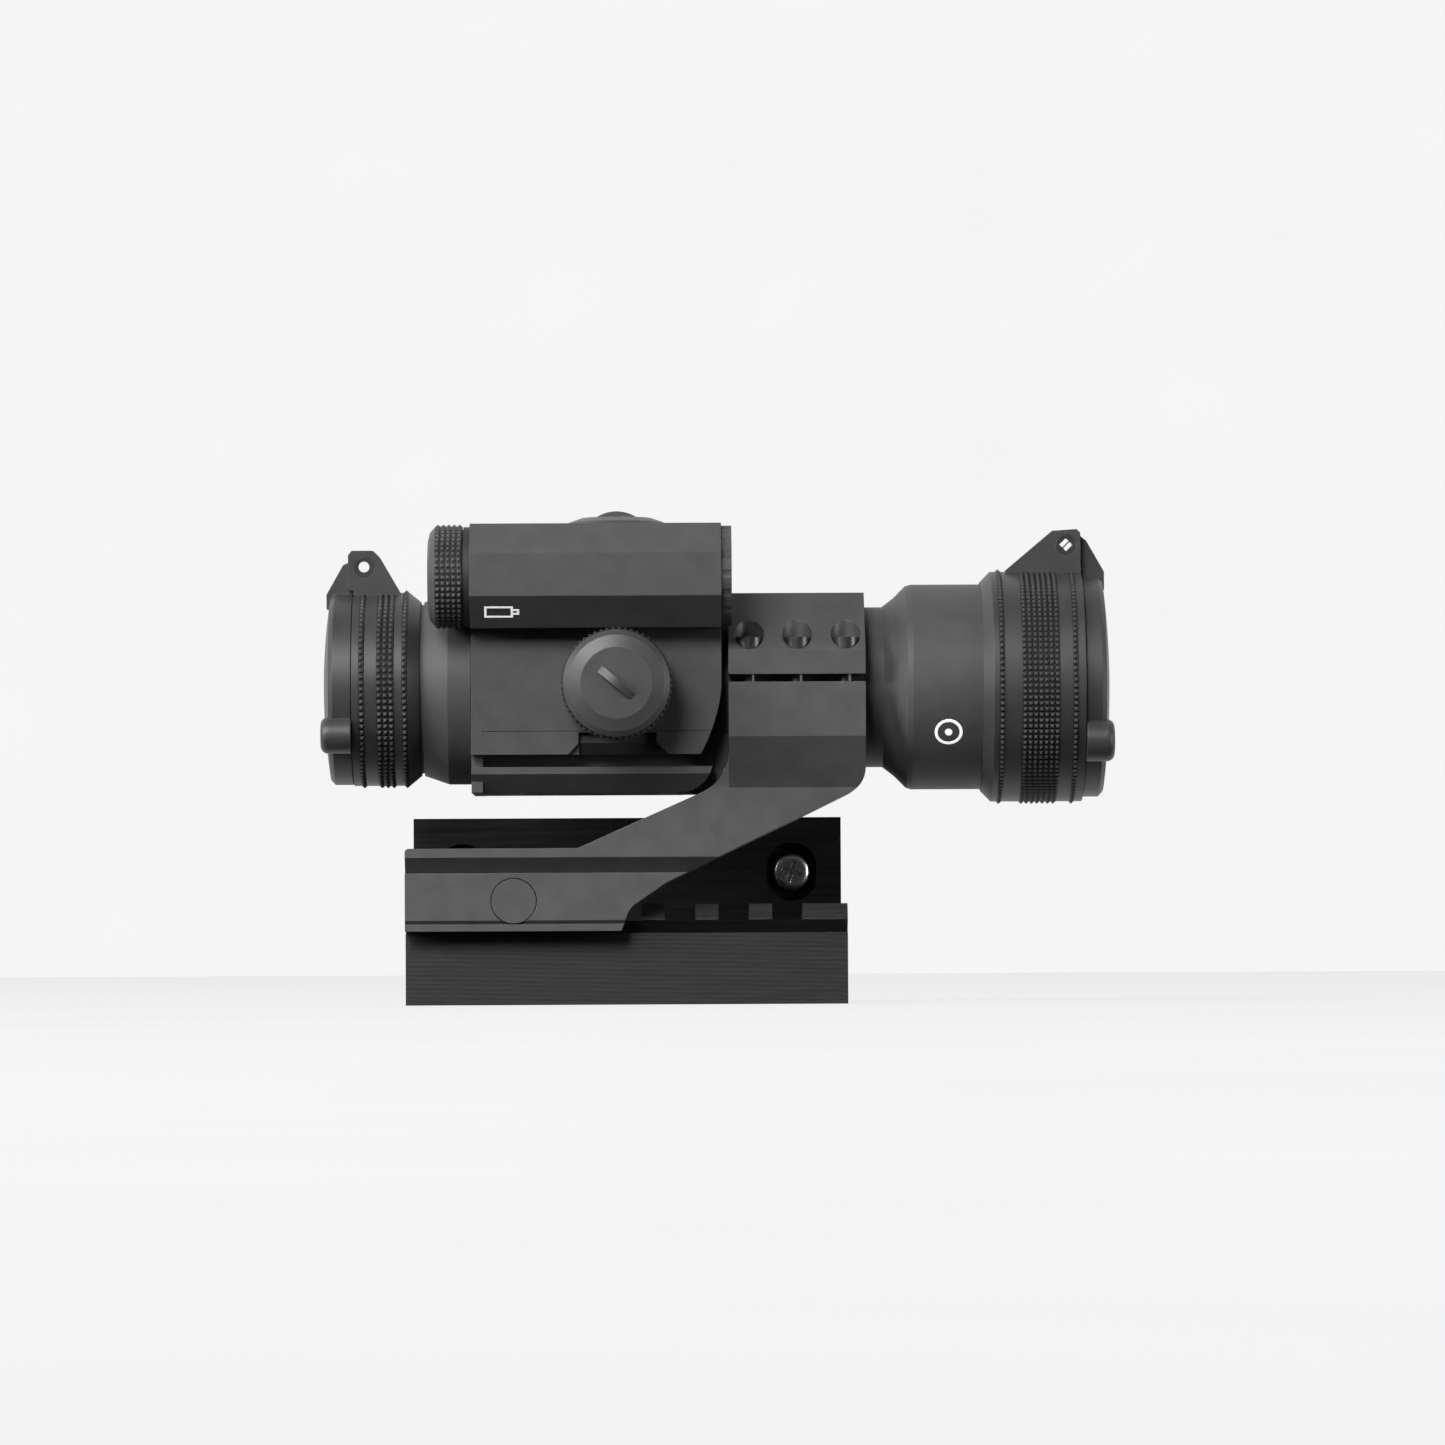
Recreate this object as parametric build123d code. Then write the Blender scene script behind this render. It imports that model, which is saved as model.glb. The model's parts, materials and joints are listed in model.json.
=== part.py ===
"""Tube sight with flip caps, a ring mount and a rail bracket.

The parts are drawn about the optical axis: X runs forward along it, Y away from the windage
side and Z up, in millimetres. On export they move so that the origin is the centre of the two
wall screws, on the back face of the rail bracket.
"""
from build123d import *
from math import cos, pi, sin, sqrt
import os

# Fits
RUN = 0.04          # radial clearance of a shaft that turns in a hole
GAP = 0.15          # clearance between moving parts that aren't a fit

# Main tube and bell
TUBE_R = 15.0       # standard 30 mm tube
TUBE_BORE = 13.2
RING_X0, RING_X1 = 14.6, 40.0
BELL_R = 19.2
BELL_BORE = 17.0
BELL_X0, BELL_X1 = 48.9, 74.0

# Turret housing
HOUSE_X0, HOUSE_X1 = -33.1, 13.3
HOUSE_HALF = 19.5
HOUSE_TOP = 19.7
SKIRT_Z = -12.85    # bottom of the side panels
FOOT_Z = -19.8      # bottom of the foot under the housing
FOOT_X1 = 11.7       # front end of the foot's side lips
TURRET_X = -6.1

# Battery tube
CELL_Y, CELL_Z = -20.2, 20.1
CELL_FLAT = 9.65    # centre to flat of the octagon
CELL_BORE = 7.6
CELL_R = 7.15       # AA cell
NECK_R = 8.7
CAP_SCREW_R = 9.6

# Eyepiece
EYE_R = 17.9
EYE_X0, EYE_X1 = -53.0, -33.2
EYE_SLEEVE_R = 15.8
EYE_BORE = 13.2

# Flip caps: centre line of the hinge pin and the sizes of the cap it belongs to
REAR_X0, REAR_X1 = -55.3, -42.7
REAR_R = 18.1
REAR_PIN = (-53.3, 22.75)
FRONT_X0, FRONT_X1 = 61.9, 80.8
FRONT_R = 21.55
FRONT_PIN = (78.0, 26.4)
PIN_R, PIN_BORE, PIN_MOUTH = 1.9, 1.0, 1.6
EAR_Y0, EAR_Y1 = 2.9, 4.8
KNUCKLE_R = 2.7

# Ring mount and clamp
MOUNT_HALF = 19.5
ARM_HALF = 15.0
SPLIT_Z0, SPLIT_Z1 = 0.5, 1.9
RING_SCREW_Y = 16.55
RING_SCREW_X = (18.5, 27.4, 36.4)
SEAT_Z = 6.4        # floor of the ring screws' counterbores
CLAMP_X0, CLAMP_X1 = -45.6, -5.4
CLAMP_TOP, CLAMP_LIP = -30.1, -45.5
JAW_Y = 9.2
JAW_TRAVEL = 2.0
BOLT_X, BOLT_Z = -25.4, -39.9
BOLT_R, BOLT_HEAD_R = 2.0, 4.15
BOLT_SEAT_Y = -12.4

# Rail bracket: a 21.2 mm accessory rail with 10.01 mm slot pitch
RAIL_X0, RAIL_X1 = -45.6, 36.7
RAIL_TOP = -40.5
RAIL_HALF = 10.6
RAIL_TOP_HALF = 8.1
RAIL_PITCH = 10.01
SLOT_W, SLOT_DEPTH = 5.75, 3.1
SLOT_MID = -4.55
SLOT_COUNT = 7
BLOCK_BOTTOM = -59.2
SHELF_TOP = -49.2
PLATE_Y0, PLATE_Y1 = 42.4, 47.4
PLATE_TOP = -23.6
WALL_SCREW_Z = -34.1
WALL_SCREW_SPACING = 63.3
WALL_SCREW_MID = (RAIL_X0 + RAIL_X1) / 2
WALL_SCREW_R = 1.9
WALL_SCREW_NECK = 2.1  # plain neck that fills the hole in the plate


def outline(points):
    """Closed face through (a, b) corners; a third number rounds its corner."""
    face = make_face(Polyline(*[point[:2] for point in points], close=True))
    for a, b, radius in (point for point in points if len(point) == 3):
        corner = face.vertices().sort_by_distance((a, b, 0))[0]
        face = fillet(corner, radius)
    return face


def along_x(points, x0, x1):
    """Prism of a (y, z) outline from x0 to x1."""
    plane = Plane(origin=(x0, 0, 0), x_dir=(0, 1, 0), z_dir=(1, 0, 0))
    return extrude(plane * outline(points), amount=x1 - x0)


def along_y(points, y0, y1):
    """Prism of an (x, z) outline from y0 to y1."""
    plane = Plane(origin=(0, y1, 0), x_dir=(1, 0, 0), z_dir=(0, -1, 0))
    return extrude(plane * outline(points), amount=y1 - y0)


def turned(points, centre=(0, 0)):
    """Solid of revolution about an X-parallel axis through (y, z), from (x, r) points."""
    solid = revolve(outline(points), Axis.X)
    return Pos(0, *centre) * solid


def block(x0, x1, y0, y1, z0, z1):
    """Box between two corners."""
    size = (x1 - x0, y1 - y0, z1 - z0)
    return Pos((x0 + x1) / 2, (y0 + y1) / 2, (z0 + z1) / 2) * Box(*size)


def rod(start, end, radius):
    """Cylinder from one point to another."""
    start, end = Vector(*start), Vector(*end)
    direction = end - start
    plane = Plane(origin=start, z_dir=direction)
    return plane * Cylinder(radius, direction.length, align=(Align.CENTER, Align.CENTER, Align.MIN))


def rod_x(x0, x1, radius, y=0.0, z=0.0):
    """Cylinder along X."""
    return rod((x0, y, z), (x1, y, z), radius)


def tube_x(x0, x1, radius, bore, y=0.0, z=0.0):
    """Tube along X."""
    return rod_x(x0, x1, radius, y, z) - rod_x(x0 - 1, x1 + 1, bore, y, z)


# ---- main tube, housing and eyepiece ----

def octagon(flat, y, z):
    """Corners of a regular octagon about (y, z) with level and upright flats."""
    corner = flat / cos(pi / 8)
    angles = [pi / 8 + k * pi / 4 for k in range(8)]
    return [(y + corner * cos(angle), z + corner * sin(angle)) for angle in angles]


def panel_profile():
    """Side view of the housing: straight ends that curve in towards the bottom."""
    rear = ThreePointArc((HOUSE_X0, -0.5), (-31.9, -6.5), (-29.0, SKIRT_Z))
    front = ThreePointArc((9.4, SKIRT_Z), (12.0, -6.8), (HOUSE_X1, -0.5))
    top = Polyline(front @ 1, (HOUSE_X1, 2 * HOUSE_TOP), (HOUSE_X0, 2 * HOUSE_TOP), rear @ 0)
    return make_face(rear + Line(rear @ 1, front @ 0) + front + top)


def housing():
    """Turret housing with its grooved foot and the battery tube on its upper corner."""
    shoulder = 6.5
    section = [(-HOUSE_HALF, SKIRT_Z), (-HOUSE_HALF, HOUSE_TOP), (HOUSE_HALF - shoulder, HOUSE_TOP),
               (HOUSE_HALF, HOUSE_TOP - shoulder), (HOUSE_HALF, SKIRT_Z)]
    upper = along_x(section, HOUSE_X0, HOUSE_X1)
    side = Plane(origin=(0, HOUSE_HALF, 0), x_dir=(1, 0, 0), z_dir=(0, -1, 0)) * panel_profile()
    upper &= extrude(side, amount=2 * HOUSE_HALF)
    neck, lip, slope = 13.5, 17.5, 3.4
    half = [(neck, SKIRT_Z + 1), (neck, -14.9), (lip, -15.1), (lip, FOOT_Z + slope), (lip - slope, FOOT_Z)]
    foot = along_x([(-y, z) for y, z in half] + half[::-1], HOUSE_X0, FOOT_X1)
    foot &= along_y([(HOUSE_X0, FOOT_Z), (HOUSE_X0, 0), (FOOT_X1, 0), (FOOT_X1, FOOT_Z, 6.0)], -lip, lip)
    bend_x, bend_z, bend_r = RING_X0 - 8.5, -12.08, 8.5 - RUN
    nose = rod((bend_x, -12, bend_z), (bend_x, 12, bend_z), bend_r)
    nose += block(bend_x, bend_x + bend_r, -12, 12, bend_z, -4)
    nose &= block(bend_x - 1, RING_X0, -12, 12, FOOT_Z, -4)
    end_plate = block(HOUSE_X0, HOUSE_X0 + 2.1, -16.2, 16.2, FOOT_Z, 0)
    cell = along_x(octagon(CELL_FLAT, CELL_Y, CELL_Z), HOUSE_X0, HOUSE_X1)
    neck_tube = rod_x(-38.4, HOUSE_X0, NECK_R, CELL_Y, CELL_Z)
    pad_rise = 0.4
    backing = block(HOUSE_X0, -28.5, -HOUSE_HALF + pad_rise, HOUSE_HALF - pad_rise, SKIRT_Z, 0)
    return upper + backing + foot + nose + end_plate + cell + neck_tube


def turret_recess():
    """Scoop in the near side panel under the windage cap: a ledge over a sloped, flared floor."""
    ledge_top, ledge_bottom, ledge_y = -8.8, -10.7, -HOUSE_HALF + 1.0
    drop = ledge_bottom - SKIRT_Z
    section = [(-HOUSE_HALF - 1, ledge_top), (ledge_y, ledge_top), (ledge_y, ledge_bottom),
               (ledge_y + drop + 0.4, SKIRT_Z - 0.4), (-HOUSE_HALF - 1, SKIRT_Z - 0.4)]
    flare = [(-13.2, ledge_bottom), (1.2, ledge_bottom), (3.5, SKIRT_Z - 0.1), (-15.2, SKIRT_Z - 0.1)]
    return along_x(section, -13.2, 1.2) + along_y(flare, -HOUSE_HALF - 1, ledge_y)


def base_screw_places():
    """Centres of the four screws that hold the cover plate under the foot."""
    return [(x, y) for x in (-25.0, 3.5) for y in (-6.5, 6.5)]


def turret_boss(out):
    """Threaded boss that a turret cap screws on to, along the direction out."""
    start, end = turret_point(out, 14.0), turret_point(out, 25.0)
    return rod(start, end, 7.9)


def turret_holes(out):
    """Bore of a boss: wide for the dial, narrow for the adjusting screw."""
    wide = rod(turret_point(out, 19.9), turret_point(out, 26.0), 5.2)
    narrow = rod(turret_point(out, 12.0), turret_point(out, 20.5), 2.55)
    return wide + narrow


def turret_point(out, reach):
    """Point on a turret's axis at a distance from the optical axis."""
    return (TURRET_X + out[0] * reach, out[1] * reach, out[2] * reach)


WINDAGE = (0, -1, 0)
ELEVATION = (0, 0, 1)
KEYPAD_X0, KEYPAD_X1, KEYPAD_HALF = -22.0, 6.0, 6.5
POCKET_Y = 15.2
BUTTON_X = {"button_dimmer": -14.0, "button_brighter": -2.0}
BUTTON_R = 3.3
BUTTON_TRAVEL = 0.7


def main_body():
    tube = rod_x(HOUSE_X1 - 1, BELL_X0, TUBE_R)
    bell = turned([(43.5, 0), (43.5, TUBE_R), (45.7, 16.7), (47.9, 18.9), (BELL_X0, BELL_R),
                   (BELL_X1, BELL_R), (BELL_X1, 0)])
    body = housing() + tube + bell
    for out in (WINDAGE, ELEVATION):
        body += turret_boss(out)
    body -= rod_x(HOUSE_X0 - 1, BELL_X0 + 1, TUBE_BORE)
    body -= rod_x(HOUSE_X0 - 1, -29.0, 14.2)
    body -= rod_x(49.5, BELL_X1 + 1, BELL_BORE)
    body -= rod_x(-39.0, HOUSE_X1 + 1, CELL_BORE, CELL_Y, CELL_Z)
    for out in (WINDAGE, ELEVATION):
        body -= turret_holes(out)
    body -= turret_recess()
    body -= block(KEYPAD_X0 + 2, KEYPAD_X1 - 2, POCKET_Y, HOUSE_HALF + 1, -5, 5)
    body -= block(-29, 7.5, -10, 10, FOOT_Z - 1, -18.0)
    for x, y in base_screw_places():
        body -= rod((x, y, -18.5), (x, y, -14.5), 1.0)
    seam = block(HOUSE_X0, HOUSE_X1, -HOUSE_HALF - 1, -HOUSE_HALF + 0.1, -8.6, -8.5)
    return body - seam


def base_plate():
    plate = block(-29, 7.5, -10, 10, FOOT_Z, -18.0)
    for x, y in base_screw_places():
        plate -= rod((x, y, FOOT_Z - 1), (x, y, -17), 1.0)
        plate -= rod((x, y, FOOT_Z - 1), (x, y, FOOT_Z + 1.0), 1.9)
    return plate


def hex_socket(centre, axis, across, depth):
    """Hexagonal prism that is cut into a screw's head."""
    plane = Plane(origin=centre, z_dir=axis)
    return extrude(plane * RegularPolygon(across / 2, 6, major_radius=False), amount=-depth)


def base_screws():
    screws = []
    for x, y in base_screw_places():
        screw = rod((x, y, -14.5), (x, y, FOOT_Z), 1.0) + rod((x, y, FOOT_Z), (x, y, FOOT_Z + 1.0), 1.85)
        screws.append(screw - hex_socket((x, y, FOOT_Z), (0, 0, -1), 1.5, 0.8))
    return Compound(children=screws)


def eyepiece_ring():
    return turned([(EYE_X0, EYE_BORE), (EYE_X0, EYE_SLEEVE_R), (-42.1, EYE_SLEEVE_R), (-42.1, 16.3),
                   (-37.5, EYE_R), (EYE_X1, EYE_R), (EYE_X1, 14.2), (-29.0, 14.2), (-29.0, 12.0),
                   (-46.0, 12.0), (-46.0, EYE_BORE)])


# ---- optics and electronics inside the tube ----

def lens(x0, x1, radius, bulge):
    """Lens with a flat face at x0 and a face at x1 that bulges forward."""
    rim = Polyline((x1, radius), (x0, radius), (x0, 0), (x1 + bulge, 0))
    dome = ThreePointArc((x1 + bulge, 0), (x1 + 0.75 * bulge, radius / 2), (x1, radius))
    return revolve(make_face(rim + dome), Axis.X)


def objective_lens():
    return lens(50.5, 53.5, 16.9, 2.0)


def objective_seal():
    return tube_x(53.9, 54.6, BELL_BORE, 16.3)


def objective_retainer():
    return tube_x(54.7, 57.7, BELL_BORE, 15.6) - block(56.7, 58, -1, 1, -18, 18)


def ocular_lens():
    return lens(-48.0, -46.0, 13.1, -0.8).mirror(Plane.YZ).moved(Location((-94.0, 0, 0)))


def ocular_seal():
    return tube_x(-48.9, -48.1, EYE_BORE, 12.3)


def ocular_retainer():
    return tube_x(-51.0, -49.0, EYE_BORE, 11.8) - block(-52, -50, -1, 1, -14, 14)


def optic_cell():
    """Inner tube that pivots at its front flange when the adjusters push it."""
    cell = tube_x(-26.0, 47.0, 11.2, 10.2) + tube_x(44.0, 47.0, TUBE_BORE, 10.2)
    return cell - block(-20, -10, -3, 3, -12, -9)


def cell_spring():
    """Bow leaf that presses the cell against both adjusters, from the far lower side."""
    strip = along_x([(-3, -12.6), (3, -12.6), (3, -12.1), (-3, -12.1)], -22, 4)
    feet = along_x([(-3, -12.6), (3, -12.6), (3, -11.3), (-3, -11.3)], -10, -7)
    return Rot(45, 0, 0) * (strip + feet)


def emitter_block():
    return block(-18, -12, -2.6, 2.6, -11.0, -8.6) - rod_x(-13.5, -11, 0.95, 0, -9.6)


def emitter_diode():
    return rod_x(-13.5, -12.2, 0.95, 0, -9.6) + rod_x(-12.2, -11.4, 0.7, 0, -9.6)


def circuit_board():
    return block(KEYPAD_X0 + 2.2, KEYPAD_X1 - 2.2, POCKET_Y, POCKET_Y + 1.2, -4.8, 4.8)


def keypad_bezel():
    bezel = block(KEYPAD_X0, KEYPAD_X1, HOUSE_HALF, HOUSE_HALF + 1.1, -KEYPAD_HALF, KEYPAD_HALF)
    bezel = fillet(bezel.edges().filter_by(Axis.Y), 2.0)
    for x in BUTTON_X.values():
        bezel -= rod((x, HOUSE_HALF - 1, 0), (x, HOUSE_HALF + 2, 0), BUTTON_R + RUN)
    return bezel


def button(x):
    """Push button with a flange behind the bezel."""
    flange_y = POCKET_Y + 2.3
    top_y = HOUSE_HALF + 2.0
    stem = rod((x, flange_y, 0), (x, top_y, 0), BUTTON_R)
    stem = fillet(stem.edges().sort_by(Axis.Y)[-1], 0.5)
    return stem + rod((x, flange_y, 0), (x, flange_y + 0.8, 0), BUTTON_R + 0.7)


# ---- turrets ----

def turret(solid, out):
    """Moves a solid drawn about +Z on to a turret's axis."""
    turn = Rot(90, 0, 0) if out == WINDAGE else Rot(0, 0, 0)
    return Pos(TURRET_X, 0, 0) * turn * solid


def spun(points):
    """Solid of revolution about Z, from (r, z) points."""
    return revolve(Plane.XZ * outline(points), Axis.Z)


def turret_cap(bar_angle):
    """Screw cap with a dished face and an arched coin grip across it."""
    shell = spun([(0, 26.5), (6.4, 26.5), (6.4, 25.2), (7.9 + RUN, 25.2), (7.9 + RUN, 20.1), (10.2, 20.1),
                  (10.2, 21.0), (9.9, 21.3), (9.9, 30.1), (8.9, 31.1), (6.6, 31.9), (0, 31.9)])
    arch = Polyline((-3.9, 32.0), (-4.0, 31.5), (4.0, 31.5), (3.9, 32.0))
    arch += ThreePointArc((3.9, 32.0), (0, 33.2), (-3.9, 32.0))
    side = Plane(origin=(0, 0.75, 0), x_dir=(1, 0, 0), z_dir=(0, -1, 0))
    bar = extrude(side * make_face(arch), amount=1.5)
    return shell + Rot(0, 0, bar_angle) * bar


def turret_dial():
    """Adjuster with a coin slot, a toothed edge and its adjusting screw's socket."""
    dial = rod((0, 0, 20.1), (0, 0, 24.8), 5.2 - RUN)
    dial = chamfer(dial.edges().sort_by(Axis.Z)[-1], 0.4)
    return dial - block(-4, 4, -0.5, 0.5, 23.6, 25) - rod((0, 0, 19), (0, 0, 22), 1.5)


def turret_screw():
    """Threaded pusher from the dial down to the inner tube."""
    return rod((0, 0, 11.9), (0, 0, 20.0), 2.5) + rod((0, 0, 20.0), (0, 0, 22.0), 1.5)


def turret_seal():
    return rod((0, 0, HOUSE_TOP), (0, 0, 20.0), 9.4) - rod((0, 0, 19), (0, 0, 21), 8.0)


# ---- battery ----

def battery():
    return rod_x(-37.2, 11.0, CELL_R, CELL_Y, CELL_Z) + rod_x(11.0, 12.0, 2.75, CELL_Y, CELL_Z)


def battery_front_plug():
    """Plug with a scalloped rim that closes the front of the battery tube."""
    rim = rod_x(HOUSE_X1, 15.2, 9.3, CELL_Y, CELL_Z) + rod_x(12.6, HOUSE_X1, CELL_BORE, CELL_Y, CELL_Z)
    notches, notch_r, notch_reach = 16, 2.0, 11.1
    for k in range(notches):
        angle = 2 * pi * k / notches
        y, z = CELL_Y + notch_reach * cos(angle), CELL_Z + notch_reach * sin(angle)
        rim -= rod_x(HOUSE_X1 - 1, 16, notch_r, y, z)
    return rim


def battery_front_contact():
    return rod_x(12.0, 12.6, 3.5, CELL_Y, CELL_Z)


def battery_spring():
    """Conical contact spring, drawn as its flat end plate and turns."""
    plate = rod_x(-38.5, -38.2, 4.5, CELL_Y, CELL_Z)
    return plate + tube_x(-38.2, -37.3, 4.2, 3.4, CELL_Y, CELL_Z)


def battery_cap():
    """Screw cap over the neck of the battery tube."""
    return turned([(-40.9, 0), (-40.9, 6.6), (-40.5, 8.2), (-39.5, CAP_SCREW_R - 0.3),
                   (-34.5, CAP_SCREW_R - 0.3), (-34.5, NECK_R + RUN), (-38.6, NECK_R + RUN), (-38.6, 0)],
                  (CELL_Y, CELL_Z))


def battery_cap_seal():
    return tube_x(-34.3, HOUSE_X0, 9.2, NECK_R, CELL_Y, CELL_Z)


# ---- flip caps ----

def ears(points, pin):
    """Two hinge ears of one (x, z) outline, drilled for the pin."""
    solid = along_y(points, -EAR_Y1, -EAR_Y0) + along_y(points, EAR_Y0, EAR_Y1)
    return solid - rod((pin[0], -9, pin[1]), (pin[0], 9, pin[1]), PIN_R)


def knuckle(arm, pin):
    """Lid arm with a knuckle each side of the hinge spring."""
    solid = along_y(arm, -EAR_Y0 + GAP, EAR_Y0 - GAP)
    solid += rod((pin[0], -EAR_Y0 + GAP, pin[1]), (pin[0], EAR_Y0 - GAP, pin[1]), KNUCKLE_R)
    spring_room = KNUCKLE_R + GAP
    solid -= rod((pin[0], -1.5, pin[1]), (pin[0], 1.5, pin[1]), spring_room)
    return solid - rod((pin[0], -9, pin[1]), (pin[0], 9, pin[1]), PIN_R + RUN)


def hinge_pin(pin, diamond):
    """Hollow pin, with a round or a diamond hole through it."""
    solid = rod((pin[0], -EAR_Y1, pin[1]), (pin[0], EAR_Y1, pin[1]), PIN_R)
    near = Plane(origin=(pin[0], -EAR_Y1, pin[1]), z_dir=(0, 1, 0))
    flare = near * Cone(PIN_BORE, PIN_MOUTH, 2 * EAR_Y1, align=(Align.CENTER, Align.CENTER, Align.MIN))
    if not diamond:
        return solid - flare
    side = 1.75
    hole = Pos(pin[0], 0, pin[1]) * Rot(0, 45, 0) * Box(side, 20, side)
    bar = Pos(pin[0], -EAR_Y1 + 0.5, pin[1]) * Rot(0, 45, 0) * Box(0.25, 0.6, side + 0.4)
    far_flare = flare & block(pin[0] - 3, pin[0] + 3, -EAR_Y1 + 1.2, EAR_Y1, pin[1] - 3, pin[1] + 3)
    return solid - hole - far_flare + bar


def hinge_spring(pin, leg):
    """Torsion spring round the pin: closed turns on a thin core, with one leg on the cap's body."""
    wire = 0.4
    inner, outer = PIN_R + 0.08, PIN_R + 0.6
    solid = rod((pin[0], -1.25, pin[1]), (pin[0], 1.25, pin[1]), outer - wire / 2)
    for k in range(5):
        y = -1.25 + k * 0.525
        solid += rod((pin[0], y, pin[1]), (pin[0], y + wire, pin[1]), outer)
    solid -= rod((pin[0], -3, pin[1]), (pin[0], 3, pin[1]), inner)
    start, end = leg
    leg_r = 0.16
    return solid + rod((pin[0] + start[0], 0, pin[1] + start[1]), (pin[0] + end[0], 0, pin[1] + end[1]), leg_r)


def lid(x0, x1, radius, lobe_z, lobe_r, arm, pin):
    """Slightly domed lid with a thumb lobe and the hinge arm."""
    inner, outer = x0, x1
    rim, dish = 2.2, 2.1
    side = 1 if outer > inner else -1
    dome = ThreePointArc((outer, 0), (outer - side * 0.32, radius / 2), (outer - side * 1.3, radius - 0.8))
    back = Polyline(dome @ 1, (outer - side * 2.1, radius), (inner, radius), (inner, radius - rim),
                    (inner + side * dish, radius - rim), (inner + side * dish, 0), (outer, 0))
    disc = revolve(make_face(dome + back), Axis.X)
    lobe_y = -sqrt(radius * radius - lobe_z * lobe_z)
    lobe_end = outer + side * 0.1
    lobe = rod_x(inner, lobe_end, lobe_r, lobe_y, lobe_z)
    lobe = fillet(lobe.edges().sort_by(Axis.X)[-1 if side > 0 else 0], 1.4)
    lobe -= rod_x(min(inner, outer) - 1, max(inner, outer) + 2, radius - rim - 1, 0, 0)
    return disc + lobe + knuckle(arm, pin)


def rear_cap_body():
    chamfer_x = -44.9
    body = turned([(REAR_X0, 14.0), (REAR_X0, REAR_R), (chamfer_x, REAR_R), (REAR_X1, EYE_SLEEVE_R + 0.5),
                   (REAR_X1, EYE_SLEEVE_R + RUN), (EYE_X0 - 0.15, EYE_SLEEVE_R + RUN), (EYE_X0 - 0.15, 14.0)])
    pin_x, pin_z = REAR_PIN
    outline_points = [(-55.3, 15.2), (-55.3, 18.2), (-56.3, 18.6), (-56.3, 25.0, 0.6), (-55.6, 25.8),
                      (-51.6, 25.8, 1.0), (-50.4, 24.6), (-46.0, 17.0), (-46.8, 15.6)]
    web = along_y([(-55.2, 15.8), (-55.2, 18.9), (-49.5, 18.9), (-46.0, 17.0), (-46.0, 15.8)], -EAR_Y1, EAR_Y1)
    ear_pair = ears(outline_points, (pin_x, pin_z))
    bore = rod_x(-57, -42, EYE_SLEEVE_R + RUN)
    return body + ((ear_pair + web) - bore)


def rear_lid():
    arm = [(-53.3, 25.0), (-57.3, 23.2, 0.6), (-60.4, 17.7), (-60.4, 15.0), (-55.5, 15.0), (-55.5, 18.9),
           (-53.3, 20.3)]
    return lid(-55.45, -60.95, 17.9, -9.0, 3.4, arm, REAR_PIN)


def objective_cap_body():
    body = turned([(FRONT_X0, BELL_R + RUN), (FRONT_X0, 19.6), (63.8, FRONT_R), (FRONT_X1, FRONT_R),
                   (FRONT_X1, 17.6), (74.3, 17.6), (74.3, BELL_R + RUN)])
    points = [(66.6, 19.6), (66.6, 21.6), (75.4, 29.0, 0.8), (80.0, 29.3), (80.7, 28.6), (80.7, 19.6)]
    web = along_y([(66.6, 19.6), (66.6, 21.6), (68.4, 22.9), (74.6, 22.9), (75.6, 21.9), (75.6, 19.6)],
                  -EAR_Y1, EAR_Y1)
    bore = rod_x(60, 82, 20.6)
    return body + ((ears(points, FRONT_PIN) + web) - bore)


def objective_lid():
    arm = [(78.0, 28.9), (80.2, 28.6), (81.9, 27.2, 0.6), (85.2, 21.4), (85.2, 18.0), (81.0, 18.0),
           (81.0, 22.0), (78.0, 23.9)]
    return lid(80.95, 86.0, 20.7, -10.6, 3.9, arm, FRONT_PIN)


# ---- ring mount and rail clamp ----

def ring_cap():
    """Upper half of the ring: a crown between two slanted faces."""
    crown = 17.4
    side = crown - SEAT_Z + 1.4
    flat = MOUNT_HALF - side + 1.4
    half = [(MOUNT_HALF, SPLIT_Z1), (MOUNT_HALF, 6.4), (flat, crown)]
    cap = along_x([(-y, z) for y, z in half] + half[::-1], RING_X0, RING_X1)
    cap -= rod_x(RING_X0 - 1, RING_X1 + 1, TUBE_R)
    for x in RING_SCREW_X:
        for y in (-RING_SCREW_Y, RING_SCREW_Y):
            cap -= rod((x, y, SEAT_Z), (x, y, crown + 2), 2.75)
            cap -= rod((x, y, 0), (x, y, SEAT_Z + 1), 1.3)
    return cap


def ring_screws():
    screws = []
    for x in RING_SCREW_X:
        for y in (-RING_SCREW_Y, RING_SCREW_Y):
            screw = rod((x, y, -8.0), (x, y, SEAT_Z), 1.25) + rod((x, y, SEAT_Z), (x, y, SEAT_Z + 2.4), 2.4)
            screws.append(screw - hex_socket((x, y, SEAT_Z + 2.4), (0, 0, 1), 2.0, 1.3))
    return Compound(children=screws)


def arm_profile():
    """Side view of the cantilever arm, from the ring down to the clamp."""
    return [(RING_X0, SPLIT_Z0), (RING_X1, SPLIT_Z0), (RING_X1, -18.6, 5.0), (2.7, -36.7, 8.0),
            (-3.9, -41.3, 4.0), (CLAMP_X1, CLAMP_LIP), (CLAMP_X0, CLAMP_LIP), (CLAMP_X0, CLAMP_TOP, 0.7),
            (-13.5, CLAMP_TOP, 2.0), (RING_X0, -17.6, 8.5)]


def rail_section(grow=0.0):
    """Corners (y, z) of the rail's head, grown sideways and upwards by a clearance."""
    bevel = RAIL_HALF - RAIL_TOP_HALF
    neck = 8.2
    half = [(neck + grow, -45.9), (RAIL_HALF + grow, -45.9 + RAIL_HALF - neck),
            (RAIL_HALF + grow, RAIL_TOP - bevel), (RAIL_TOP_HALF + grow, RAIL_TOP + grow)]
    return [(-y, z) for y, z in half] + half[::-1]


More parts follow.
